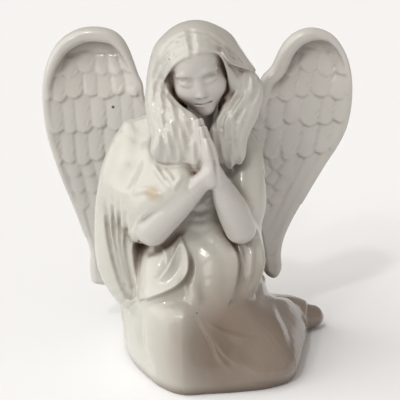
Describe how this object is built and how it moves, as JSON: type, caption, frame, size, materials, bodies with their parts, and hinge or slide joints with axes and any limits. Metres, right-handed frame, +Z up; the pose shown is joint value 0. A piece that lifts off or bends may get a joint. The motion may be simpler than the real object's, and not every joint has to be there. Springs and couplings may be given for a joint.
{
  "type": "angel figurine",
  "caption": "Glossy white figurine of a kneeling, praying angel with long hair, draped robe and two feathered wings, cast hollow and standing on its robe's flat foot.",
  "frame": {"origin": "on the floor, under the centre of the figurine's bounding box", "axes": "+Z up, -Y the way the figure faces, +X the angel's own left"},
  "size_m": [0.1758, 0.1164, 0.1974],
  "materials": {
    "robe_glaze": "high gloss, warm white",
    "skin_glaze": "high gloss, warm white",
    "hair_glaze": "high gloss, warm white",
    "feather_glaze": "gloss, warm white, pooled in the relief"
  },
  "bodies": {
    "root": {"right_wing": "feather_glaze", "left_wing": "feather_glaze", "head": "skin_glaze", "right_arm": "skin_glaze", "left_arm": "skin_glaze", "right_hair_lock": "hair_glaze", "left_hair_lock": "hair_glaze", "hair_crown": "hair_glaze", "hair_back": "hair_glaze", "right_sleeve": "robe_glaze", "left_sleeve": "robe_glaze", "trunk": "robe_glaze", "lap_drape": "robe_glaze", "left_foot": "skin_glaze", "robe_train": "robe_glaze", "robe_skirt": "robe_glaze"}
  },
  "joints": []
}
